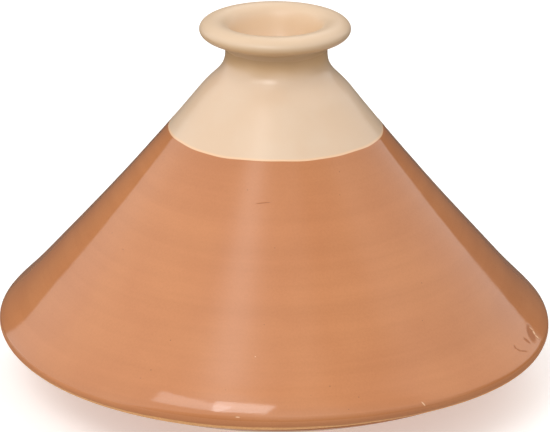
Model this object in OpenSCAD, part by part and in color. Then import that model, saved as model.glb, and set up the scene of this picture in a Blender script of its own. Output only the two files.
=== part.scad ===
// Tagine: a conical stoneware lid with a hollow cup knob, standing on a shallow footed dish.
// The origin is the centre of the dish's foot, on the surface it stands on, with +Z up.
// Each piece is turned about the Z axis, so it is drawn as one outline of [radius, height] points.

/* [Lid] */
// Outer diameter of the lid at its rim band
lid_d = 300; // [280:1:330]
// Height of the upright rim band
band_h = 7; // [6:0.1:9]
// Diameter at the top of the flank, where the neck begins
shoulder_d = 83; // [76:0.5:92]
// Height of the top of the flank above the lid's lower edge
shoulder_h = 131.5; // [126:0.5:138]
// How far the flank hollows in from a straight line
flank_hollow = 2.3; // [0:0.1:4]
// Thickness of the lid's wall
lid_wall = 7; // [5:0.1:9]

/* [Knob] */
// Diameter of the neck at its waist
neck_d = 54.4; // [50:0.2:60]
// Height of the waist above the lid's lower edge
neck_h = 153.5; // [149:0.5:156]
// Outer diameter of the rolled lip
lip_d = 80.4; // [76:0.2:88]
// Width of the rolled lip, inside to outside
lip_w = 15.4; // [13:0.2:17]
// Thickness of the rolled lip, underside to crest
lip_t = 9.8; // [8:0.2:11]
// Height of the knob's crest above the lid's lower edge
crest_h = 170.8; // [168:0.2:176]
// Depth of the cup in the knob, below the crest
cup_depth = 31; // [24:0.5:32]

/* [Seat] */
// How far the lid's lower edge reaches down over the dish's rim
seat_depth = 5; // [3:0.1:6]
// Thickness of the lid's lower edge, outside the seat
edge_w = 8; // [6:0.1:10]
// Width of the ledge in the lid that rests on the dish's rim
ledge_w = 6; // [4:0.1:8]
// Height left between the ledge and the dish's rim
seat_gap = 0.3; // [0.2:0.05:0.6]
// Room to turn, between the dish's rim and the lid's lower edge
turn_gap = 0.8; // [0.5:0.1:1.5]

/* [Dish] */
// Height of the dish, from its foot to its rim
dish_h = 37; // [34:0.5:44]
// Height of the upright stretch below the dish's rim
rim_h = 7; // [6:0.1:9]
// Thickness of the dish's rim
rim_w = 6.4; // [5:0.1:8]
// Thickness of the dish's flared wall
dish_wall = 6.5; // [5:0.1:8]
// How far the flared wall swells out from a straight line
wall_swell = 1.5; // [0:0.1:3]
// Thickness of the dish's floor
floor_t = 7.5; // [6:0.1:9]
// Outer diameter of the foot ring
foot_d = 152; // [130:1:160]
// Width of the foot ring
foot_w = 8; // [6:0.5:12]
// Height of the foot ring
foot_h = 3.5; // [2.5:0.1:3.9]

/* [Hidden] */

amber = [0.79, 0.54, 0.39];
cream = [0.93, 0.82, 0.68];

// facets around each turned piece, and stretches along the curves of an outline
turn_fn = 180;
flank_n = 28;
curve_n = 14;
corner_n = 5;
lip_n = 42;

// roundings: the lid's lower edge is [across, up], the others are radii
drop_r = [3, 4];
band_r = 1;
edge_r = 1;
rim_r = 1.5;

lid_r = lid_d / 2;
lid_z = dish_h + seat_gap - seat_depth;
dish_r = lid_r - edge_w - turn_gap;
foot_r = foot_d / 2;

function unit(v) = v / norm(v);
// radius at height z on the line through a and b
function radius_at(a, b, z) = a[0] + (b[0] - a[0]) * (z - a[1]) / (b[1] - a[1]);
// point at angle a on an ellipse about c with half-axes h = [across, up]
function on_ellipse(c, h, a) = [c[0] + h[0] * cos(a), c[1] + h[1] * sin(a)];
// direction of travel there, as the angle grows
function ellipse_dir(h, a) = unit([-h[0] * sin(a), h[1] * cos(a)]);
function arc(c, h, a0, a1, n = corner_n) = [for (i = [0:n]) on_ellipse(c, h, a0 + (a1 - a0) * i / n)];
// rounded corner of radius r about c
function corner(c, r, a0, a1) = arc(c, [r, r], a0, a1);
// smooth curve from a, leaving towards b, to d, arriving from c
function curve(a, b, c, d, n = curve_n) = [for (i = [0:n]) let (t = i / n, u = 1 - t)
    u * u * u * a + 3 * u * u * t * b + 3 * u * t * t * c + t * t * t * d];
// line from a to b, bent so that its middle stands d to the right of the straight one
function bow(a, b, d, n) = let (v = b - a, w = [v[1], -v[0]] / norm(v))
    [for (i = [0:n]) let (t = i / n) a + v * t + w * d * 4 * t * (1 - t)];
// direction of that bent line where it reaches b
function bow_end(a, b, d) = let (v = b - a, w = [v[1], -v[0]] / norm(v)) unit(v - 4 * d * w);

module turned(outline) {
    rotate_extrude($fn = turn_fn) polygon(outline);
}

// lid: the flank runs from the rounded top of the rim band to the shoulder under the neck
band_c = [lid_r - band_r, band_h - band_r];
shoulder = [shoulder_d / 2, shoulder_h];
flank_steep = atan2(shoulder_h - band_h, band_c[0] - shoulder[0]);
flank_foot = on_ellipse(band_c, [band_r, band_r], 90 - flank_steep);
flank_dir = unit(shoulder - flank_foot);
shoulder_dir = bow_end(flank_foot, shoulder, -flank_hollow);

// knob: a waisted neck, and a rolled lip between the angles where neck and cup join it
waist = [neck_d / 2, neck_h];
lip_h = [lip_w / 2, lip_t / 2];
lip_c = [lip_d / 2 - lip_h[0], crest_h - lip_h[1]];
lip_from = -95;
lip_to = 150;
lip_join = on_ellipse(lip_c, lip_h, lip_from);
throat = on_ellipse(lip_c, lip_h, lip_to);
cup_floor = [0, crest_h - cup_depth];

// dome: its inside follows the flank one wall further in, to a low crown below the cup
wall_in = lid_wall * [-sin(flank_steep), -cos(flank_steep)];
crown = cup_floor - [0, lid_wall + 2];
dome_top = shoulder + wall_in - 8 * flank_dir;
ledge_z = seat_depth + 14;
dome_foot = [radius_at(flank_foot + wall_in, shoulder + wall_in, ledge_z), ledge_z];
edge_in_r = lid_r - edge_w;
ledge_in_r = edge_in_r - ledge_w;

function lid_outside() = concat(
    arc([lid_r - drop_r[0], drop_r[1]], drop_r, -90, 0),
    corner(band_c, band_r, 0, 90 - flank_steep),
    bow(flank_foot, shoulder, -flank_hollow, flank_n));

function neck_outside() = let (
        rise = norm(waist - shoulder) * 0.45,
        flare = norm(lip_join - waist) * 0.45)
    concat(
        curve(shoulder, shoulder + shoulder_dir * rise, waist - [0, rise * 0.9], waist),
        curve(waist, waist + [0, flare], lip_join - ellipse_dir(lip_h, lip_from) * flare, lip_join));

function lip_and_cup() = concat(
    arc(lip_c, lip_h, lip_from, lip_to, lip_n),
    curve(throat, throat + ellipse_dir(lip_h, lip_to) * 6, cup_floor + [throat[0] * 0.72, 0], cup_floor));

function lid_inside() = concat(
    curve(crown, crown + [dome_top[0] * 0.45, 0], dome_top + flank_dir * 9, dome_top),
    bow(dome_top, dome_foot, flank_hollow * 0.9, flank_n),
    corner([ledge_in_r + edge_r, seat_depth + edge_r], edge_r, 180, 270),
    corner([edge_in_r - edge_r, seat_depth - edge_r], edge_r, 90, 0),
    corner([edge_in_r + edge_r, edge_r], edge_r, 180, 270));

module lid() {
    color(amber)
        translate([0, 0, lid_z])
            turned(concat(lid_outside(), neck_outside(), lip_and_cup(), lid_inside()));
}

// dish: a flared wall from the foot ring to an upright rim that stands inside the lid's edge
wall_foot = [foot_r + 5, foot_h + 1];
wall_top = [dish_r, dish_h - rim_h];
wall_dir = unit(wall_top - wall_foot);
mouth_r = dish_r - rim_w;
floor_z = foot_h + floor_t;

// the inside of the wall is one wall further in, from the floor to a bend under the mouth
inner_top = wall_top + dish_wall * [-wall_dir[1], wall_dir[0]];
inner_bend = inner_top - wall_dir * (inner_top[0] - mouth_r + 8) / wall_dir[0];
inner_low = [radius_at(inner_bend, inner_top, floor_z), floor_z];

function dish_outside() = concat(
    corner([foot_r - edge_r, edge_r], edge_r, -90, 0),
    curve(wall_foot - [4, 2], wall_foot - [3, 1.2], wall_foot - [2, 0.7], wall_foot, corner_n),
    bow(wall_foot, wall_top - [1, 0.4], wall_swell, curve_n),
    [wall_top + [0, 1]],
    corner([dish_r - rim_r, dish_h - rim_r], rim_r, 0, 90));

function dish_inside() = concat(
    corner([mouth_r + rim_r, dish_h - rim_r], rim_r, 90, 180),
    curve([mouth_r, dish_h - rim_r - 0.5], [mouth_r, inner_bend[1] + 2.5],
        inner_bend + wall_dir * 6, inner_bend, corner_n),
    curve(inner_low + wall_dir * 12, inner_low + wall_dir * 4, inner_low - [5, 0], inner_low - [14, 0]),
    [[0, floor_z]]);

function foot_inside() = concat(
    [[0, foot_h]],
    corner([foot_r - foot_w - edge_r, foot_h - edge_r], edge_r, 90, 0),
    corner([foot_r - foot_w + edge_r, edge_r], edge_r, 180, 270));

module base_dish() {
    color(cream)
        turned(concat(dish_outside(), dish_inside(), foot_inside()));
}

base_dish();
lid();
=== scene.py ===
"""Tagine: a glazed conical lid with a hollow cup knob, standing on a shallow footed dish."""
import functools
import math

import bmesh
import bpy
from mathutils import Matrix, Vector, noise


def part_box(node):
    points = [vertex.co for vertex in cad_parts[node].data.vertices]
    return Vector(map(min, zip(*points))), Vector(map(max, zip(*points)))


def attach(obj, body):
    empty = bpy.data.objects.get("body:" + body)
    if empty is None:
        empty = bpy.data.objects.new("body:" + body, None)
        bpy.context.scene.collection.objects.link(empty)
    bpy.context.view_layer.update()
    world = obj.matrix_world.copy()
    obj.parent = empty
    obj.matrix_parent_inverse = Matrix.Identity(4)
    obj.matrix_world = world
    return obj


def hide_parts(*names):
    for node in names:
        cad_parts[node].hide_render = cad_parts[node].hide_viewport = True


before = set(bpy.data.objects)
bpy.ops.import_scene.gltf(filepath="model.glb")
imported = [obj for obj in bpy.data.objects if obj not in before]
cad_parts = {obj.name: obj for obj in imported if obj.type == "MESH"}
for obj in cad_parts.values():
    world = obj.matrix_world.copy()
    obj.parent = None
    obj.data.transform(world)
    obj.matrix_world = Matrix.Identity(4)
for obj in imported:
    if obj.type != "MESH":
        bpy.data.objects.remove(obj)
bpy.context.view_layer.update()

MM = 0.001

# the lid and the dish, from the frame
lid_low, lid_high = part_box("lid")
dish_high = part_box("base_dish")[1]
LID_R = lid_high[0]
LID_Z = lid_low[2]
LID_H = lid_high[2] - LID_Z
DISH_R = dish_high[0]
DISH_H = dish_high[2]

# lid: heights are above its lower edge. The rounding there, the band, and the soft turn into the flank
EDGE_ROUND = (3.0 * MM, 4.0 * MM)
BAND_H, BAND_CORNER = 7.0 * MM, 1.0 * MM
TURN_START, TURN_AIM, TURN_END, TURN_SOFT = 4.4 * MM, 5.9 * MM, 7.3 * MM, 0.9 * MM

# the hollow flank up to the shoulder, eased in at its foot, and where the amber glaze ends on it
SHOULDER_R, SHOULDER_H = 41.5 * MM, 131.5 * MM
FLANK_HOLLOW = 2.3 * MM
EASE_REACH, EASE_DROP = 6.0 * MM, 0.35 * MM
GLAZE_H = 111.3 * MM

# the waist, the lip, which is part of an ellipse between two angles, and the cup. A curve's handle is this
# share of the straight way
WAIST_R, WAIST_H = 27.2 * MM, 153.5 * MM
HANDLE = 0.45
LIP_R, LIP_W, LIP_T = 40.2 * MM, 15.4 * MM, 9.8 * MM
LIP_START, LIP_END = -95, 150
CUP_DEPTH, CUP_FLOOR_T = 31.0 * MM, 9.0 * MM

# the wall, the stepped seat and the upright step above its ledge
LID_WALL = 7.0 * MM
SEAT_DEPTH, EDGE_W, LEDGE_W, STEP_H = 5.0 * MM, 8.0 * MM, 6.0 * MM, 14.0 * MM
SMALL_ROUND = 1.0 * MM

# dish: its rim, wall, floor and foot ring, and how far outside the ring the wall starts
RIM_H, RIM_W, RIM_ROUND = 7.0 * MM, 6.4 * MM, 1.5 * MM
DISH_WALL, WALL_SWELL, FLOOR_T = 6.5 * MM, 1.5 * MM, 7.5 * MM
FOOT_R, FOOT_W, FOOT_H, FOOT_OUTSET = 76.0 * MM, 8.0 * MM, 3.5 * MM, 5.0 * MM

# steps around both pieces, and up the lid's flank: halved at its foot, and cut finer at the glaze's edge
AROUND = 288
FLANK_STEPS, HALVED_STEPS = 110, 11
GLAZE_NEAR, GLAZE_CUTS = 2.0 * MM, 5
SAME_POINT, ON_AXIS = 0.01 * MM, 0.001 * MM

# the amber glaze's thickness, how the knob leans, and how its lip rises to one side and to the back
GLAZE_T = 0.14 * MM
KNOB_LEAN = 0.9 * MM
LIP_TILT, LIP_BACK = 0.35 * MM, 0.2 * MM

# waves around a piece: (turns, size, start)
EDGE_WAVES = ((3, 0.20 * MM, 1.0), (7, 0.14 * MM, 2.3), (17, 0.07 * MM, 0.4))
LID_WAVES = ((2, 0.12 * MM, 0.6), (3, 0.08 * MM, 2.0))
DISH_WAVES = ((2, 0.15 * MM, 2.1),)

# throwing rings: (how fast they change around the pot, height of one, seed), then their size. The lid's fine
# rings are deeper near its foot
LID_RINGS, LID_RING_SIZE = (0.8, 8.5 * MM, 3), 0.075 * MM
LID_FINE, LID_FINE_SIZE, LID_FINE_MORE = (0.6, 3 * MM, 9), 0.018 * MM, 0.022 * MM
DISH_RINGS, DISH_RING_SIZE, DISH_RINGS_FROM = (0.9, 7 * MM, 17), 0.10 * MM, 2 * MM
DISH_FINE, DISH_FINE_SIZE = (0.7, 3 * MM, 31), 0.03 * MM

# a point this deep under the flank, and no further over the shoulder, is inside the lid. One this far inside
# the waist is in the cup
INSIDE_DEPTH, CONE_OVER, CUP_WITHIN = 4 * MM, 6 * MM, 3 * MM

# heights, as (nil, full), where the deeper fine rings, the rings, the glaze and the knob's lean come in.
# Rings are deeper inside the lid, and the glaze's step is soft on both sides of its edge
FINE_MORE_SPAN = (26 * MM, 12 * MM)
RING_SPAN, INSIDE_RINGS = (TURN_END, TURN_END + 3 * MM), 2.0
GLAZED_SPAN, GLAZE_SOFT = (2.4 * MM, 3.4 * MM), 0.35 * MM
LEAN_SPAN = (WAIST_H - 2 * MM, WAIST_H + 11 * MM)

# how the lid's foot strays from true: out, in the band's height, and up at its lower edge, each as bumps
# around the pot (angle from the front, spread, size)
FOOT_OUT = ((-40, 30, -1.9 * MM), (5, 24, -1.6 * MM), (62, 20, 1.1 * MM))
BAND_TALL = ((12, 38, 1.5 * MM), (-42, 18, -1.6 * MM))
EDGE_UP = ((27, 20, 0.9 * MM), (-15, 18, -0.4 * MM))

# the foot is fully out up to its top and true again a reach higher, and the flank hollows in above it. A
# taller band stands further in by a share of what it gains. Last, spans as (nil, full), by height and depth
FOOT_TOP, FOOT_BLEND, FOOT_REACH, FOOT_LIMIT = 6.5 * MM, 1.5 * MM, 11.0 * MM, 60 * MM
FOOT_HOLLOW, HOLLOW_H, HOLLOW_RUN = 0.6 * MM, 22 * MM, 14 * MM
SLIDE_SHARE = 0.7
TALL_SPAN, UP_SPAN, SKIN_SPAN = (22 * MM, 7.5 * MM), (4.8 * MM, 1.0 * MM), (6.2 * MM, 3.0 * MM)

# glaze and clay colours
AMBER_LIGHT = (0.585, 0.237, 0.094, 1)
AMBER_DEEP = (0.557, 0.219, 0.086, 1)
AMBER_DARK = (0.36, 0.125, 0.042, 1)
IRON = (0.16, 0.075, 0.040, 1)
# painted dark reflection: the colour the scars take, standing in for dark surroundings mirrored in the
# glaze's flaws
SCAR_DARK_REFLECTION = (0.35, 0.12, 0.048, 1)
# peach of the chips' bare clay and of the amber's thin edge, where it is also a painted highlight along the
# glaze's edge
PEACH_AND_HIGHLIGHT = (0.88, 0.575, 0.345, 1)
CREAM_PALE = (0.740, 0.562, 0.406, 1)
CREAM_WARM = (0.730, 0.533, 0.368, 1)
# painted shade: the warm dark under the lip and in the cup
CREAM_SHADE = (0.69, 0.43, 0.20, 1)
# painted shade: the lip's cream, darker than the rest of the cream
CREAM_LIP_SHADE = (0.70, 0.52, 0.355, 1)
CLAY = (0.88, 0.46, 0.19, 1)
CLAY_DARK = (0.76, 0.37, 0.14, 1)

# how much of its colour each of these lays over the glaze: the thick edge of the amber, its thin edge with
# the painted highlight, the lip's painted shade, the painted shade under it and in the cup, and the marks
THICK_AMOUNT, THIN_HIGHLIGHT_AMOUNT = 0.2, 0.8
LIP_SHADE_AMOUNT, NECK_SHADE_AMOUNT, CUP_SHADE_AMOUNT = 0.9, 0.72, 0.25
SCAR_REFLECTION_AMOUNT, CHIP_GLINT_AMOUNT = 0.65, 0.85

# roughness of each finish, with dull clouds in the lid's glaze and a dull lower half to its band
AMBER_ROUGH, CREAM_ROUGH, CLOUD_ROUGH, LIP_ROUGH = 0.07, 0.22, 0.35, 0.5
BAND_ROUGH, SCAR_ROUGH, CLAY_ROUGH = 0.8, 0.7, 0.75
DISH_AMBER_ROUGH, DISH_CREAM_ROUGH, DISH_SPECULAR = 0.35, 0.15, 0.15
RELIEF_DEPTH = 0.10 * MM

# where the lid's finishes start and end, as (nil, full). First, above the edge of the amber glaze: its thick
# stretch, the thin stretch with its painted highlight, and how softly it and the slip end
THICK_SPAN, THIN_HIGHLIGHT_SPAN = (-16 * MM, -2 * MM), (1.2 * MM, 0.4 * MM)
THIN_SOFT, PALE_SOFT = 0.1 * MM, 0.15 * MM

# then, above the lid's lower edge or out from its axis: the lip's painted shade, the painted shade under it
# and in the cup, the dull band and the ragged bare edge, and last the depth under the flank where the inside
# starts
LIP_SPAN = (LID_H - 20 * MM, LID_H - 8 * MM)
NECK_SHADE_FOOT, NECK_SHADE_TOP = (SHOULDER_H + 11 * MM, WAIST_H), (LID_H - LIP_T * 0.3, LID_H - LIP_T * 0.75)
NECK_SHADE_SKIN = (WAIST_R - 0.4 * MM, WAIST_R - 0.1 * MM)
CUP_WALL, CUP_BOTTOM = (WAIST_R - 1.5 * MM, WAIST_R - 4 * MM), (WAIST_H - 18 * MM, WAIST_H - 16 * MM)
DULL_SPAN = (6.2 * MM, 4.6 * MM)
BARE_SPAN, RAGGED = (2.9 * MM, 2.4 * MM), 1.0 * MM
INSIDE_SPAN = (5.0 * MM, 5.8 * MM)

# the same for the dish: the crown of its rim, its inside above the middle of the wall, and its bare foot
CROWN_RISE, CROWN_IN = (DISH_H - 1.2 * MM, DISH_H - 0.6 * MM), (DISH_R - 2 * MM, DISH_R - 3 * MM)
WALL_SPAN, MOUTH_SPAN = (3.0 * MM, 3.6 * MM), (DISH_R - RIM_W * 0.7, DISH_R - RIM_W * 0.8)
OVER_FOOT = (FOOT_H + 2 * MM, FOOT_H + 4 * MM)
FOOT_BARE, FOOT_RAGGED = (5.2 * MM, 4.8 * MM), 2.0 * MM

# the floor, half of its width first
FLOOR_HALF = 4.0
FLOOR_COLOUR = (0.88, 0.88, 0.88, 1)
FLOOR_ROUGH, FLOOR_SPECULAR, FLOOR_GLOW = 0.8, 0.1, 0.32

# the wall of light around the pot: its two ends and (angle, brightness), by angle from the camera's side
WALL_ENDS, END_SOFT = (-137.5, 140.5), 0.8
WALL_LEVELS = (
    (-180, 0.6), (-150, 0.6), (-120, 1.27), (-60, 1.14), (-8, 0.95), (20, 0.8), (45, 0.3), (62, 0.3),
    (85, 0.88), (130, 1.08), (155, 0.8), (180, 2.0),
)

# a colour ramp holds levels up to 1, so they are divided by this in it
LEVEL_SCALE = 2.0

# colour of all the light that comes from around the pot
STUDIO_COLOUR = (1, 0.985, 0.97, 1)

# the wall's lower edge, which tips down towards the back and drops further between two angles on each side
WALL_EDGE, EDGE_SOFT, WALL_TIP = 0.31, 0.01, 0.186
LEFT_DROP, LEFT_FROM, LEFT_TO = 0.26, -50, -75
RIGHT_DROP, RIGHT_FROM, RIGHT_TO = 0.05, 90, 120
BACK_EDGE, BACK_SOFT = 0.6, 0.05

# the dimmer top, the bounce from below, the faint glow behind and the level added everywhere
TOP_LEVEL, TOP_FROM, TOP_TO = 0.3, 0.89, 0.97
BOUNCE_LEVEL, BOUNCE_FROM, BOUNCE_TO = 1.35, -0.4, -0.85
BACK_GLOW, GLOW_WAY, GLOW_RISE = 0.07, (0.3, 0.8), (0.25, 0.05)
DARK_LEVEL = 0.035

# soft hot spots: (angle from the camera's side, elevation, spread, strength)
HOT_SPOTS = (
    (-29, 59, 9, 1.7), (6, 20, 24, 1.3), (-62, 4, 24, 0.85), (52, 28, 24, 0.6), (64, 8, 24, 0.6),
    (85, 72, 20, 0.6),
)

# what the lamps point at, and how far they are from it
LAMP_AIM = Vector((0, 0, 0.12))
LAMP_DISTANCE = 1.6

# camera: its distance and height from the lid's lower edge, the point it looks at, its roll and lens
CAMERA_BACK, CAMERA_UP = 1.400, 0.5856
AIM_X, AIM_UP = 0.15 * MM, 59.97 * MM
CAMERA_ROLL = 0.61
LENS, SENSOR = 180.65, 36
CLIP_END = 20

# marks on the flank: (angle from the front, height, length, width, tilt from the level)
# chips of bare clay, and a painted glint of light: the small one at -6.8 degrees, low on the flank
CHIPS_AND_GLINT = (
    (73.2, 13.0 * MM, 3.6 * MM, 1.3 * MM, 98), (72.8, 11.2 * MM, 3.4 * MM, 2.1 * MM, 42),
    (72.5, 9.3 * MM, 4.2 * MM, 1.6 * MM, 100), (30.9, 7.6 * MM, 3.8 * MM, 0.9 * MM, -54),
    (-6.8, 8.3 * MM, 3.2 * MM, 0.8 * MM, 0), (-4.1, 31.6 * MM, 0.8 * MM, 0.7 * MM, 0),
)
# scars: real flaws with relief and dull glaze, whose dark colour is a painted reflection
SCARS_AND_REFLECTIONS = (
    (-53.3, 62.4 * MM, 1.1 * MM, 0.9 * MM, 0), (-28.8, 17.6 * MM, 0.9 * MM, 0.8 * MM, 0),
    (-4.6, 93.8 * MM, 9.5 * MM, 0.45 * MM, 9), (67.8, 11.7 * MM, 6.0 * MM, 2.6 * MM, -71),
    (71.6, 12.0 * MM, 16.0 * MM, 8.0 * MM, 32), (62.2, 13.0 * MM, 3.4 * MM, 1.6 * MM, 77),
    (62.5, 11.5 * MM, 4.4 * MM, 1.3 * MM, -54), (63.8, 9.7 * MM, 7.5 * MM, 0.8 * MM, -27),
)


# ---------------------------------------------------------------- outlines

def on_ellipse(centre, half, angle):
    """Point of an ellipse at an angle."""
    a = math.radians(angle)
    return Vector((centre[0] + half[0] * math.cos(a), centre[1] + half[1] * math.sin(a)))


def ellipse_dir(half, angle):
    """Direction of travel on an ellipse, as the angle grows."""
    a = math.radians(angle)
    return Vector((-half[0] * math.sin(a), half[1] * math.cos(a))).normalized()


def arc(centre, half, start, end, n):
    """Part of an ellipse, between two angles."""
    return [on_ellipse(centre, half, start + (end - start) * i / n) for i in range(n + 1)]


def corner(centre, r, start, end, n=6):
    """Part of a circle, between two angles."""
    return arc(centre, (r, r), start, end, n)


def curve(a, b, c, d, n):
    """Smooth curve from a, leaving towards b, to d, arriving from c."""
    a, b, c, d = (Vector(p) for p in (a, b, c, d))
    out = []
    for i in range(n + 1):
        t = i / n
        u = 1 - t
        out.append(a * u ** 3 + b * 3 * u * u * t + c * 3 * u * t * t + d * t ** 3)
    return out


def bow(a, b, depth, n):
    """Line from a to b whose middle stands depth to the right of the straight one."""
    way = b - a
    side = Vector((way.y, -way.x)).normalized()
    return [a + way * t + side * depth * 4 * t * (1 - t) for t in (i / n for i in range(n + 1))]


def bow_end(a, b, depth):
    """Direction of travel at the far end of that bow."""
    way = b - a
    side = Vector((way.y, -way.x)).normalized()
    return (way - side * 4 * depth).normalized()


def joined(*runs):
    """One outline from several, with no point twice."""
    points = []
    for run in runs:
        for p in run:
            p = Vector(p)
            if not points or (p - points[-1]).length > SAME_POINT:
                points.append(p)
    return points


def eased(points, reach, drop):
    """The run with its start bent inwards by drop, dying out over reach."""
    out = []
    for p, q in zip(points, points[1:] + points[-1:]):
        left = max(1 - (p - points[0]).length / reach, 0)
        way = (q - p).normalized() if q != p else Vector((0, 0))
        out.append(p + Vector((-way.y, way.x)) * drop * left * left)
    return out


def finer(points, low, high, pieces):
    """The run with each step whose height is between low and high cut into pieces."""
    out = [points[0]]
    for p, q in zip(points, points[1:]):
        n = pieces if low < q.y < high else 1
        out.extend(p + (q - p) * i / n for i in range(1, n + 1))
    return out


def flank():
    """Foot and shoulder of the lid's cone, and its angle above the level in degrees."""
    corner_c = Vector((LID_R - BAND_CORNER, BAND_H - BAND_CORNER))
    shoulder = Vector((SHOULDER_R, SHOULDER_H))
    steep = math.degrees(math.atan2(SHOULDER_H - BAND_H, corner_c.x - SHOULDER_R))
    return on_ellipse(corner_c, (BAND_CORNER, BAND_CORNER), 90 - steep), shoulder, steep


def flank_radius(height):
    """Radius of the lid's flank at a height above its lower edge."""
    foot, shoulder, steep = flank()
    t = (height - foot.y) / (shoulder.y - foot.y)
    hollow = FLANK_HOLLOW * 4 * t * (1 - t) / math.sin(math.radians(steep))
    return foot.x + (shoulder.x - foot.x) * t - hollow


def lid_flank():
    """The outside of the lid from the top of its band to its shoulder."""
    foot, shoulder, _ = flank()
    low = bow(foot, shoulder, -FLANK_HOLLOW, 2 * FLANK_STEPS)[:2 * HALVED_STEPS]
    high = bow(foot, shoulder, -FLANK_HOLLOW, FLANK_STEPS)[HALVED_STEPS:]
    return [p for p in eased(low + high, EASE_REACH, EASE_DROP) if p.y > TURN_END]


def lid_inside(cup_floor):
    """The lid's inside from its crown, under the cup, down to its stepped lower edge."""
    foot, shoulder, steep = flank()
    up_flank = (shoulder - foot).normalized()
    inward = Vector((-math.sin(math.radians(steep)), -math.cos(math.radians(steep)))) * LID_WALL
    crown = cup_floor - Vector((0, CUP_FLOOR_T))
    dome_top = shoulder + inward - up_flank * 8 * MM
    a, b = foot + inward, shoulder + inward
    step_z = SEAT_DEPTH + STEP_H
    dome_foot = Vector((a.x + (b.x - a.x) * (step_z - a.y) / (b.y - a.y), step_z))
    edge_in = LID_R - EDGE_W
    ledge_in = edge_in - LEDGE_W
    r = SMALL_ROUND
    return joined(
        curve(crown, crown + Vector((dome_top.x * HANDLE, 0)), dome_top + up_flank * 9 * MM, dome_top, 16),
        bow(dome_top, dome_foot, FLANK_HOLLOW * 0.9, 36),
        corner((ledge_in + r, SEAT_DEPTH + r), r, 180, 270, 5),
        corner((edge_in - r, SEAT_DEPTH - r), r, 90, 0, 5),
        corner((edge_in + r, r), r, 180, 270, 5),
    )


def lid_outline():
    """The lid's closed outline, as [radius, height] above its lower edge, from the lower edge up."""
    foot, shoulder, _ = flank()
    outside = lid_flank()
    turn_end = outside[0]
    turn_way = (outside[0] - outside[1]).normalized()
    outside = finer(outside, GLAZE_H - GLAZE_NEAR, GLAZE_H + GLAZE_NEAR, GLAZE_CUTS)
    up_neck = bow_end(foot, shoulder, -FLANK_HOLLOW)

    waist = Vector((WAIST_R, WAIST_H))
    lip_half = (LIP_W / 2, LIP_T / 2)
    lip_c = Vector((LIP_R - lip_half[0], LID_H - lip_half[1]))
    lip_join = on_ellipse(lip_c, lip_half, LIP_START)
    throat = on_ellipse(lip_c, lip_half, LIP_END)
    cup_floor = Vector((0, LID_H - CUP_DEPTH))
    rise = (waist - shoulder).length * HANDLE
    flare = (lip_join - waist).length * HANDLE
    return joined(
        arc((LID_R - EDGE_ROUND[0], EDGE_ROUND[1]), EDGE_ROUND, -90, 0, 12),
        curve((LID_R, TURN_START), (LID_R, TURN_AIM), turn_end + turn_way * TURN_SOFT, turn_end, 12),
        outside,
        curve(shoulder, shoulder + up_neck * rise, waist - Vector((0, rise * 0.9)), waist, 24),
        curve(waist, waist + Vector((0, flare)),
              lip_join - ellipse_dir(lip_half, LIP_START) * flare, lip_join, 12),
        arc(lip_c, lip_half, LIP_START, LIP_END, 44),
        curve(throat, throat + ellipse_dir(lip_half, LIP_END) * 6 * MM,
              cup_floor + Vector((throat.x * 0.72, 0)), cup_floor, 24),
        lid_inside(cup_floor),
    )


def dish_outline():
    """The dish's closed outline, as [radius, height] above its foot, from the foot up."""
    wall_foot = Vector((FOOT_R + FOOT_OUTSET, FOOT_H + 1 * MM))
    wall_top = Vector((DISH_R, DISH_H - RIM_H))
    up_wall = (wall_top - wall_foot).normalized()
    mouth = DISH_R - RIM_W
    crown = DISH_H - RIM_ROUND
    floor_z = FOOT_H + FLOOR_T
    inner_top = wall_top + Vector((-up_wall.y, up_wall.x)) * DISH_WALL
    bend = inner_top - up_wall * ((inner_top.x - mouth + 8 * MM) / up_wall.x)
    low_r = bend.x + (inner_top.x - bend.x) * (floor_z - bend.y) / (inner_top.y - bend.y)
    low = Vector((low_r, floor_z))
    floor_edge = low - Vector((14 * MM, 0))
    r = SMALL_ROUND
    foot_in = FOOT_R - FOOT_W
    return joined(
        corner((FOOT_R - r, r), r, -90, 0),
        curve(wall_foot - Vector((4, 2)) * MM, wall_foot - Vector((3, 1.2)) * MM,
              wall_foot - Vector((2, 0.7)) * MM, wall_foot, 8),
        bow(wall_foot, wall_top - Vector((1, 0.4)) * MM, WALL_SWELL, 60),
        curve(wall_top - Vector((1, 0.4)) * MM, wall_top - Vector((0.4, 0.1)) * MM,
              wall_top + Vector((0, 0.3)) * MM, wall_top + Vector((0, 1)) * MM, 6),
        corner((DISH_R - RIM_ROUND, crown), RIM_ROUND, 0, 90),
        corner((mouth + RIM_ROUND, crown), RIM_ROUND, 90, 180),
        curve((mouth, crown - 0.5 * MM), (mouth, bend.y + 2.5 * MM), bend + up_wall * 6 * MM, bend, 10),
        bow(bend, low + up_wall * 12 * MM, 0, 30),
        curve(low + up_wall * 12 * MM, low + up_wall * 4 * MM, low - Vector((5 * MM, 0)), floor_edge, 20),
        bow(floor_edge, Vector((0, floor_z)), 0, 30),
        [Vector((0, floor_z)), Vector((0, FOOT_H))],
        corner((foot_in - r, FOOT_H - r), r, 90, 0),
        corner((foot_in + r, r), r, 180, 270),
    )


# ---------------------------------------------------------------- meshes

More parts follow.
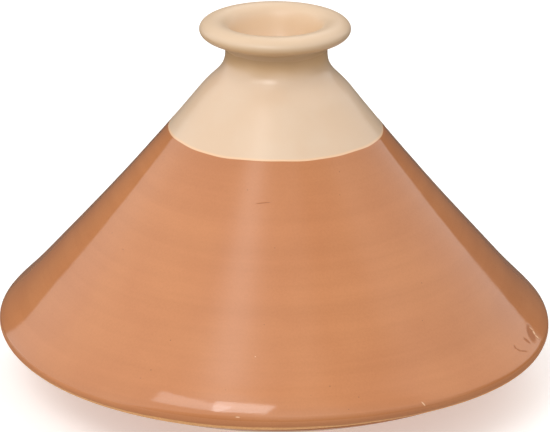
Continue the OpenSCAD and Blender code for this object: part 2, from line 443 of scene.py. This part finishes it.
def turned(name, outline, lift, shape):
    """A solid turned about Z. shape(r, z, angle) gives how far the surface stands out and up there."""
    mesh = bpy.data.meshes.new(name)
    bm = bmesh.new()
    rings = []
    for r, z in outline:
        if r < ON_AXIS:
            rings.append([bm.verts.new((0, 0, z + lift))])
            continue
        ring = []
        for i in range(AROUND):
            angle = 2 * math.pi * i / AROUND
            out, up = shape(r, z, angle)
            place = ((r + out) * math.sin(angle), -(r + out) * math.cos(angle), z + up + lift)
            ring.append(bm.verts.new(place))
        rings.append(ring)
    for low, high in zip(rings, rings[1:] + rings[:1]):
        if len(low) == len(high) == 1:
            continue
        for i in range(AROUND):
            j = (i + 1) % AROUND
            if len(low) == 1:
                bm.faces.new((low[0], high[j], high[i]))
            elif len(high) == 1:
                bm.faces.new((low[i], low[j], high[0]))
            else:
                bm.faces.new((low[i], low[j], high[j], high[i]))
    bmesh.ops.recalc_face_normals(bm, faces=bm.faces)
    bm.to_mesh(mesh)
    bm.free()
    mesh.shade_smooth()
    piece = bpy.data.objects.new(name, mesh)
    bpy.context.scene.collection.objects.link(piece)
    return piece


def smooth_step(low, high, x):
    """0 before low, 1 past high, smooth between them."""
    t = min(max((x - low) / (high - low), 0.0), 1.0)
    return t * t * (3 - 2 * t)


def waves(angle, table):
    """Waves around the pot, added up."""
    return sum(size * math.sin(turns * angle + start) for turns, size, start in table)


def around(angle, z, reach, run, seed):
    """Noise on a turned wall: reach sets how fast it changes around, run the height of one wave."""
    return noise.noise(Vector((math.cos(angle) * reach, math.sin(angle) * reach + seed, z / run)))


@functools.lru_cache(maxsize=None)
def bumps(angle, table):
    """Smooth bumps around the pot, added up."""
    total = 0.0
    for middle, spread, size in table:
        away = math.degrees(math.remainder(angle - math.radians(middle), 2 * math.pi))
        total += size * math.exp(-(away / spread) ** 2)
    return total


def under_skin(r, z):
    """How far inside the lid's flank or band a point lies, measured level."""
    return flank_radius(min(max(z, BAND_H), SHOULDER_H)) - r


def foot_shape(r, z, angle):
    """How far the lid's foot stands out and up from true: its band slides along the flank's slope."""
    outer = smooth_step(*SKIN_SPAN, under_skin(r, z))
    if outer == 0.0 or z > FOOT_LIMIT:
        return 0.0, 0.0
    above = z - FOOT_TOP
    left = max(1 - (above + math.hypot(above, FOOT_BLEND)) / 2 / FOOT_REACH, 0)
    out = bumps(angle, FOOT_OUT) * left ** 2
    out -= FOOT_HOLLOW * math.exp(-((z - HOLLOW_H) / HOLLOW_RUN) ** 2)
    tall = bumps(angle, BAND_TALL) * smooth_step(*TALL_SPAN, z)
    up = tall * min(z / FOOT_TOP, 1.0) + bumps(angle, EDGE_UP) * smooth_step(*UP_SPAN, z)
    return (out - tall * SLIDE_SHARE) * outer, up * outer


def glaze_edge(angle):
    """Height of the amber glaze's upper edge above the lid's lower edge."""
    return GLAZE_H + waves(angle, EDGE_WAVES)


def lid_shape(r, z, angle):
    """Throwing rings, a slight unroundness, the thickness of the amber glaze and the leaning knob."""
    inside = under_skin(r, z) > INSIDE_DEPTH and z < SHOULDER_H + CONE_OVER
    in_cup = z > SHOULDER_H + CONE_OVER and r < WAIST_R - CUP_WITHIN
    rings = LID_RING_SIZE * around(angle, z, *LID_RINGS)
    fine = LID_FINE_SIZE + LID_FINE_MORE * smooth_step(*FINE_MORE_SPAN, z)
    rings += fine * around(angle, z, *LID_FINE)
    ends = smooth_step(*RING_SPAN, z)
    out = waves(angle, LID_WAVES) * r / LID_R + rings * ends * (INSIDE_RINGS if inside else 1.0)
    if not inside and not in_cup:
        glazed = smooth_step(glaze_edge(angle) + GLAZE_SOFT, glaze_edge(angle) - GLAZE_SOFT, z)
        out += GLAZE_T * glazed * smooth_step(*GLAZED_SPAN, z)
    lip = smooth_step(*LEAN_SPAN, z)
    foot_out, foot_up = foot_shape(r, z, angle)
    tilt = LIP_TILT * math.sin(angle) * r / LIP_R + LIP_BACK * (1 - math.cos(angle)) / 2
    return out + foot_out - KNOB_LEAN * lip * math.sin(angle), foot_up + tilt * lip


def dish_shape(r, z, angle):
    """A slight unroundness, and throwing rings everywhere but on the foot."""
    out = waves(angle, DISH_WAVES) * r / DISH_R
    if z > DISH_RINGS_FROM:
        out += DISH_RING_SIZE * around(angle, z, *DISH_RINGS)
        out += DISH_FINE_SIZE * around(angle, z + r, *DISH_FINE)
    return out, 0.0


# ---------------------------------------------------------------- materials

class Graph:
    """A node tree, with short ways to add the usual nodes."""

    def __init__(self, tree):
        self.tree = tree

    def feed(self, socket, value):
        """Links a socket to another, or sets it to a plain value."""
        if isinstance(value, bpy.types.NodeSocket):
            self.tree.links.new(value, socket)
        else:
            socket.default_value = value

    def add(self, kind, *values, **settings):
        """A node with its settings, and its first inputs fed from values."""
        node = self.tree.nodes.new("ShaderNode" + kind)
        for name, value in settings.items():
            setattr(node, name, value)
        for socket, value in zip(node.inputs, values):
            self.feed(socket, value)
        return node

    def math(self, operation, *values):
        return self.add("Math", *values, operation=operation).outputs[0]

    def times(self, a, b):
        return self.math("MULTIPLY", a, b)

    def step(self, value, low, high, start=0.0, end=1.0):
        """Start before low, end past high, smooth between them. High may be the lesser."""
        node = self.add("MapRange", value, low, high, start, end, interpolation_type="SMOOTHSTEP")
        return node.outputs[0]

    def mix(self, amount, a, b):
        """From colour a to colour b."""
        node = self.add("Mix", data_type="RGBA")
        for slot, value in ((0, amount), (6, a), (7, b)):
            self.feed(node.inputs[slot], value)
        return node.outputs[2]

    def blend(self, amount, a, b):
        """From number a to number b."""
        node = self.add("Mix", data_type="FLOAT")
        for slot, value in ((0, amount), (2, a), (3, b)):
            self.feed(node.inputs[slot], value)
        return node.outputs[0]

    def stretched(self, where, scale):
        return self.add("Mapping", where, (0, 0, 0), (0, 0, 0), scale).outputs[0]

    def noise(self, where, scale, detail, roughness=0.5):
        node = self.add("TexNoise")
        self.feed(node.inputs["Vector"], where)
        node.inputs["Scale"].default_value = scale
        node.inputs["Detail"].default_value = detail
        node.inputs["Roughness"].default_value = roughness
        return node.outputs[0]

    def specks(self, where, scale, share, size):
        """Small round specks in that share of the cells: 1 on a speck, 0 elsewhere."""
        cells = self.add("TexVoronoi")
        self.feed(cells.inputs["Vector"], where)
        cells.inputs["Scale"].default_value = scale
        pick = self.add("SeparateXYZ", cells.outputs["Color"]).outputs[0]
        chosen = self.math("LESS_THAN", pick, share)
        near = self.step(cells.outputs["Distance"], size, size * 0.5)
        return self.times(chosen, near)

    def places(self):
        """Object coordinates: the point, its x, y and z, and how far it is from the pot's axis."""
        where = self.add("TexCoord").outputs["Object"]
        x, y, z = self.add("SeparateXYZ", where).outputs
        flat = self.add("CombineXYZ", x, y, 0.0).outputs[0]
        return where, x, y, z, self.add("VectorMath", flat, operation="LENGTH").outputs["Value"]


def new_material(name):
    """A new material, its graph and its shader."""
    material = bpy.data.materials.new(name)
    material.use_nodes = True
    return material, Graph(material.node_tree), material.node_tree.nodes["Principled BSDF"]


def bumped(g, bsdf, relief):
    """Gives the shader a fine relief."""
    bump = g.add("Bump")
    bump.inputs["Strength"].default_value = 1.0
    bump.inputs["Distance"].default_value = RELIEF_DEPTH
    g.feed(bump.inputs["Height"], relief)
    g.feed(bsdf.inputs["Normal"], bump.outputs[0])


def skin(g, where, bare):
    """Relief of both pieces: orange peel in the glaze, and coarse grain where the clay is bare."""
    grain = g.times(g.noise(where, scale=1400, detail=3, roughness=0.7), bare)
    return g.math("MULTIPLY_ADD", g.noise(where, scale=260, detail=2), 0.12, g.times(grain, 0.8))


def amber(g, where):
    """Amber glaze: broad clouding, faint rings, fine iron specks."""
    cloud = g.noise(where, scale=24, detail=3)
    colour = g.mix(g.step(cloud, 0.35, 0.65), AMBER_DEEP, AMBER_LIGHT)
    rings = g.noise(g.stretched(where, (4, 4, 150)), scale=1.0, detail=3, roughness=0.6)
    colour = g.mix(g.step(rings, 0.3, 0.7, 0.0, 0.16), colour, AMBER_DARK)
    grain = g.noise(where, scale=900, detail=2, roughness=0.6)
    colour = g.mix(g.step(grain, 0.35, 0.7, 0.0, 0.10), colour, AMBER_DARK)
    specks = g.specks(where, scale=210, share=0.06, size=0.10)
    return g.mix(g.times(specks, 0.45), colour, IRON)


def cream(g, where):
    """Cream slip under a thin clear glaze: soft clouding and pale rings."""
    cloud = g.noise(where, scale=30, detail=3)
    colour = g.mix(g.step(cloud, 0.35, 0.65), CREAM_WARM, CREAM_PALE)
    rings = g.noise(g.stretched(where, (5, 5, 170)), scale=1.0, detail=3, roughness=0.6)
    colour = g.mix(g.step(rings, 0.35, 0.7, 0.0, 0.25), colour, CREAM_WARM)
    specks = g.specks(where, scale=260, share=0.04, size=0.10)
    return g.mix(g.times(specks, 0.30), colour, CLAY)


def clay(g, where):
    """Bare fired clay with grog."""
    grain = g.noise(where, scale=700, detail=4, roughness=0.7)
    return g.mix(g.step(grain, 0.35, 0.65), CLAY_DARK, CLAY)


def mark(g, where, angle, height, length, width, tilt):
    """A long or round mark on the lid's flank, tilt up from the level: 1 on the mark, 0 elsewhere."""
    a = math.radians(angle)
    steep = math.radians(flank()[2])
    level = Vector((math.cos(a), math.sin(a), 0))
    uphill = Vector((-math.sin(a) * math.cos(steep), math.cos(a) * math.cos(steep), math.sin(steep)))
    t = math.radians(tilt)
    along = level * math.cos(t) + uphill * math.sin(t)
    across = uphill * math.cos(t) - level * math.sin(t)
    out = along.cross(across)
    turn = Matrix((along, across, out)).transposed().to_euler()
    r = flank_radius(height)
    place = (r * math.sin(a), -r * math.cos(a), height + LID_Z)
    local = g.add("Mapping", where, place, turn, (length / 2, width / 2, 3 * MM), vector_type="TEXTURE")
    far = g.add("VectorMath", local.outputs[0], operation="LENGTH").outputs["Value"]
    return g.step(far, 1.0, 0.55)


def marks(g, where, table):
    """Every mark of a table."""
    found = 0.0
    for row in table:
        found = g.math("MAXIMUM", found, mark(g, where, *row))
    return found


def above_glaze(g, height, angle):
    """How far a point is above the wavy line where the amber glaze ends."""
    edge = GLAZE_H
    for turns, size, start in EDGE_WAVES:
        wave = g.math("SINE", g.math("MULTIPLY_ADD", angle, turns, start))
        edge = g.math("MULTIPLY_ADD", wave, size, edge)
    return g.math("SUBTRACT", height, edge)


def inside_lid(g, height, radius):
    """1 on the lid's inside, 0 on its outside."""
    foot, shoulder, _ = flank()
    fall = (foot.x - shoulder.x) / (shoulder.y - foot.y)
    cone = g.math("MULTIPLY_ADD", g.math("MAXIMUM", height, BAND_H), -fall, foot.x + foot.y * fall)
    return g.step(g.math("SUBTRACT", cone, radius), *INSIDE_SPAN)


def painted_shade_under_lip(g, height, radius, outside):
    """1 around the neck under the lip, where the painted shade goes."""
    band = g.times(g.step(height, *NECK_SHADE_FOOT), g.step(height, *NECK_SHADE_TOP))
    return g.times(band, g.times(outside, g.step(radius, *NECK_SHADE_SKIN)))


def cup_painted_shade(g, height, radius):
    """1 on the cup's wall and floor, where the painted shade goes."""
    return g.times(g.step(radius, *CUP_WALL), g.step(height, *CUP_BOTTOM))


def lid_material():
    """Amber glaze up to its wavy line, cream slip above it and inside, bare clay on the lower edge."""
    material, g, bsdf = new_material("lid_glaze")
    where, x, y, z, radius = g.places()
    height = g.math("SUBTRACT", z, LID_Z)
    angle = g.math("ARCTAN2", x, g.times(y, -1.0))
    above = above_glaze(g, height, angle)
    inside = inside_lid(g, height, radius)
    outside = g.math("SUBTRACT", 1.0, inside)
    pale = g.math("MAXIMUM", g.step(above, -PALE_SOFT, PALE_SOFT), inside)
    lip = g.step(height, *LIP_SPAN)
    ragged = g.math("MULTIPLY_ADD", g.noise(where, scale=60, detail=3), RAGGED, height)
    bare = g.step(ragged, *BARE_SPAN)
    chips_and_glint = marks(g, where, CHIPS_AND_GLINT)
    scars_and_reflections = marks(g, where, SCARS_AND_REFLECTIONS)

    # the amber is thick and dark just under its edge, and a thin peach line runs along it, made brighter as a
    # painted highlight
    colour = g.mix(pale, amber(g, where), cream(g, where))
    thick = g.times(g.step(above, *THICK_SPAN), g.step(above, THIN_SOFT, -THIN_SOFT))
    colour = g.mix(g.times(thick, THICK_AMOUNT), colour, AMBER_DARK)
    thin_edge_and_highlight = g.times(g.step(above, -THIN_SOFT, THIN_SOFT), g.step(above, *THIN_HIGHLIGHT_SPAN))
    colour = g.mix(g.times(g.times(thin_edge_and_highlight, outside), THIN_HIGHLIGHT_AMOUNT), colour, PEACH_AND_HIGHLIGHT)

    # the lip's painted shade, the painted shade under it and in the cup, the marks' painted dark reflection,
    # the bare clay, and the chips with their painted glint
    colour = g.mix(g.times(lip, LIP_SHADE_AMOUNT), colour, CREAM_LIP_SHADE)
    colour = g.mix(g.times(painted_shade_under_lip(g, height, radius, outside), NECK_SHADE_AMOUNT), colour, CREAM_SHADE)
    colour = g.mix(g.times(cup_painted_shade(g, height, radius), CUP_SHADE_AMOUNT), colour, CREAM_SHADE)
    colour = g.mix(g.times(scars_and_reflections, SCAR_REFLECTION_AMOUNT), colour, SCAR_DARK_REFLECTION)
    colour = g.mix(bare, colour, clay(g, where))
    colour = g.mix(g.times(chips_and_glint, CHIP_GLINT_AMOUNT), colour, PEACH_AND_HIGHLIGHT)
    g.feed(bsdf.inputs["Base Color"], colour)

    # the chips, and the painted glint among them, show some bare clay too
    bare = g.math("MAXIMUM", bare, g.times(chips_and_glint, 0.7))
    rough = g.blend(pale, AMBER_ROUGH, CREAM_ROUGH)
    rough = g.blend(g.step(g.noise(where, scale=45, detail=3), 0.4, 0.7, 0.0, 0.15), rough, CLOUD_ROUGH)
    rough = g.blend(g.times(lip, 0.5), rough, LIP_ROUGH)
    rough = g.blend(g.step(height, *DULL_SPAN), rough, BAND_ROUGH)
    rough = g.blend(scars_and_reflections, rough, SCAR_ROUGH)
    rough = g.blend(bare, rough, CLAY_ROUGH)
    g.feed(bsdf.inputs["Roughness"], rough)

    pits = g.specks(where, scale=420, share=0.05, size=0.12)
    relief = g.math("SUBTRACT", skin(g, where, bare), g.times(g.math("MAXIMUM", chips_and_glint, scars_and_reflections), 1.2))
    bumped(g, bsdf, g.math("SUBTRACT", relief, g.times(pits, 0.5)))
    return material


def dish_material():
    """Cream inside up to the rim's crown, amber outside, bare clay under the foot."""
    material, g, bsdf = new_material("dish_glaze")
    where, _, _, z, radius = g.places()
    crown = g.times(g.step(z, *CROWN_RISE), g.step(radius, *CROWN_IN))
    wall_foot = FOOT_R + FOOT_OUTSET
    rise = (DISH_H - RIM_H - FOOT_H) / (DISH_R - wall_foot)
    wall = g.math("MULTIPLY_ADD", radius, rise, FOOT_H - wall_foot * rise)
    inner = g.times(g.step(g.math("SUBTRACT", z, wall), *WALL_SPAN), g.step(radius, *MOUTH_SPAN))
    inner = g.times(inner, g.step(z, *OVER_FOOT))
    pale = g.math("MAXIMUM", crown, inner)
    ragged = g.math("MULTIPLY_ADD", g.noise(where, scale=12, detail=3), FOOT_RAGGED, z)
    bare = g.times(g.step(ragged, *FOOT_BARE), g.math("SUBTRACT", 1.0, inner))

    colour = g.mix(pale, amber(g, where), cream(g, where))
    g.feed(bsdf.inputs["Base Color"], g.mix(bare, colour, clay(g, where)))
    rough = g.blend(pale, DISH_AMBER_ROUGH, DISH_CREAM_ROUGH)
    g.feed(bsdf.inputs["Roughness"], g.blend(bare, rough, CLAY_ROUGH))
    bsdf.inputs["Specular IOR Level"].default_value = DISH_SPECULAR
    bumped(g, bsdf, skin(g, where, bare))
    return material


# ---------------------------------------------------------------- studio

def floor():
    """A pale floor that glows slightly and stays out of the glaze's reflections."""
    mesh = bpy.data.meshes.new("floor")
    corners = [(x * FLOOR_HALF, y * FLOOR_HALF, 0) for x, y in ((-1, -1), (1, -1), (1, 1), (-1, 1))]
    mesh.from_pydata(corners, [], [(0, 1, 2, 3)])
    piece = bpy.data.objects.new("floor", mesh)
    bpy.context.scene.collection.objects.link(piece)
    material, _, bsdf = new_material("floor")
    bsdf.inputs["Base Color"].default_value = FLOOR_COLOUR
    bsdf.inputs["Roughness"].default_value = FLOOR_ROUGH
    bsdf.inputs["Specular IOR Level"].default_value = FLOOR_SPECULAR
    bsdf.inputs["Emission Color"].default_value = (1, 1, 1, 1)
    bsdf.inputs["Emission Strength"].default_value = FLOOR_GLOW
    mesh.materials.append(material)
    piece.visible_glossy = False
    piece.visible_diffuse = False


def direction(azimuth, elevation):
    """The way there from the pot; azimuth 0 is the camera's side."""
    a = math.radians(azimuth)
    e = math.radians(elevation)
    return Vector((math.sin(a) * math.cos(e), -math.cos(a) * math.cos(e), math.sin(e)))


def wall_mask(g, turn, y, z):
    """1 where the wall of light is: between its ends and above its lower edge, and high up behind."""
    left, right = (end / 180 for end in WALL_ENDS)
    soft = END_SOFT / 180
    ends = g.times(g.step(turn, left - soft, left + soft), g.step(turn, right + soft, right - soft))
    rise = g.math("MULTIPLY_ADD", y, WALL_TIP, z)
    back = g.step(rise, BACK_EDGE - BACK_SOFT, BACK_EDGE)
    rise = g.math("ADD", rise, g.step(turn, LEFT_FROM / 180, LEFT_TO / 180, 0.0, LEFT_DROP))
    rise = g.math("ADD", rise, g.step(turn, RIGHT_FROM / 180, RIGHT_TO / 180, 0.0, RIGHT_DROP))
    return g.math("MAXIMUM", g.times(g.step(rise, WALL_EDGE - EDGE_SOFT, WALL_EDGE + EDGE_SOFT), ends), back)


def wall_level(g, turn, z):
    """The wall's brightness around the pot, and the dimmer top."""
    ramp = g.add("ValToRGB", g.math("MULTIPLY_ADD", turn, 0.5, 0.5))
    ramp.color_ramp.interpolation = "EASE"
    stops = ramp.color_ramp.elements
    for angle, level in WALL_LEVELS:
        place = angle / 360 + 0.5
        if place in (0, 1):
            stop = stops[0 if place == 0 else -1]
        else:
            stop = stops.new(place)
        stop.color = (level / LEVEL_SCALE, level / LEVEL_SCALE, level / LEVEL_SCALE, 1)
    return g.blend(g.step(z, TOP_FROM, TOP_TO), g.times(ramp.outputs[0], LEVEL_SCALE), TOP_LEVEL)


def surroundings():
    """Soft light from a wall around the pot, with hot spots, and a bounce from below."""
    world = bpy.data.worlds.new("studio")
    world.use_nodes = True
    bpy.context.scene.world = world
    g = Graph(world.node_tree)
    way = g.add("TexCoord").outputs["Generated"]
    x, y, z = g.add("SeparateXYZ", way).outputs
    turn = g.math("DIVIDE", g.math("ARCTAN2", x, g.times(y, -1.0)), math.pi)
    glow = g.times(wall_mask(g, turn, y, z), wall_level(g, turn, z))
    for azimuth, elevation, spread, strength in HOT_SPOTS:
        centre = direction(azimuth, elevation)
        near = g.add("VectorMath", way, centre, operation="DOT_PRODUCT").outputs["Value"]
        width = 1 - math.cos(math.radians(spread))
        fall = g.math("EXPONENT", g.math("DIVIDE", g.math("SUBTRACT", near, 1.0), width))
        glow = g.math("MULTIPLY_ADD", fall, strength, glow)
    glow = g.math("ADD", glow, g.step(z, BOUNCE_FROM, BOUNCE_TO, 0.0, BOUNCE_LEVEL))
    behind = g.times(g.step(y, *GLOW_WAY), g.step(z, *GLOW_RISE, 0.0, BACK_GLOW))
    glow = g.math("ADD", glow, behind)
    backdrop = world.node_tree.nodes["Background"]
    backdrop.inputs["Color"].default_value = STUDIO_COLOUR
    g.feed(backdrop.inputs["Strength"], g.math("ADD", glow, DARK_LEVEL))


def softbox(name, azimuth, elevation, width, height, radiance):
    """A rectangular light in that direction from the pot."""
    way = direction(azimuth, elevation)
    data = bpy.data.lights.new(name, "AREA")
    data.shape = "RECTANGLE"
    data.size = width
    data.size_y = height
    data.energy = radiance * math.pi * width * height
    lamp = bpy.data.objects.new(name, data)
    lamp.location = LAMP_AIM + way * LAMP_DISTANCE
    lamp.rotation_euler = way.to_track_quat("Z", "Y").to_euler()
    bpy.context.scene.collection.objects.link(lamp)


def camera():
    """A long lens, looking down about 21 degrees, with a slight roll."""
    aim = Vector((AIM_X, 0, AIM_UP + LID_Z))
    place = Vector((0, -CAMERA_BACK, CAMERA_UP + LID_Z))
    roll = math.radians(CAMERA_ROLL)
    ahead = (aim - place).normalized()
    right = ahead.cross(Vector((0, 0, 1))).normalized()
    up = right.cross(ahead)
    rolled_right = right * math.cos(roll) + up * math.sin(roll)
    rolled_up = up * math.cos(roll) - right * math.sin(roll)
    data = bpy.data.cameras.new("camera")
    data.lens = LENS
    data.sensor_width = SENSOR
    data.clip_end = CLIP_END
    eye = bpy.data.objects.new("camera", data)
    eye.matrix_world = Matrix((
        (rolled_right.x, rolled_up.x, -ahead.x, place.x),
        (rolled_right.y, rolled_up.y, -ahead.y, place.y),
        (rolled_right.z, rolled_up.z, -ahead.z, place.z),
        (0, 0, 0, 1)))
    bpy.context.scene.collection.objects.link(eye)
    bpy.context.scene.camera = eye


# ---------------------------------------------------------------- the scene

camera()
floor()
surroundings()
softbox("key", azimuth=-14.4, elevation=42.5, width=0.56, height=0.43, radiance=4.9)
softbox("key_side", azimuth=-38.5, elevation=41.5, width=0.78, height=0.32, radiance=2.8)

lid = turned("lid_thrown", lid_outline(), LID_Z, lid_shape)
lid.data.materials.append(lid_material())
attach(lid, "lid")
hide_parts("lid")

dish = turned("dish_thrown", dish_outline(), 0, dish_shape)
dish.data.materials.append(dish_material())
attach(dish, "dish")
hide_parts("base_dish")

bpy.context.scene.view_settings.view_transform = "Standard"
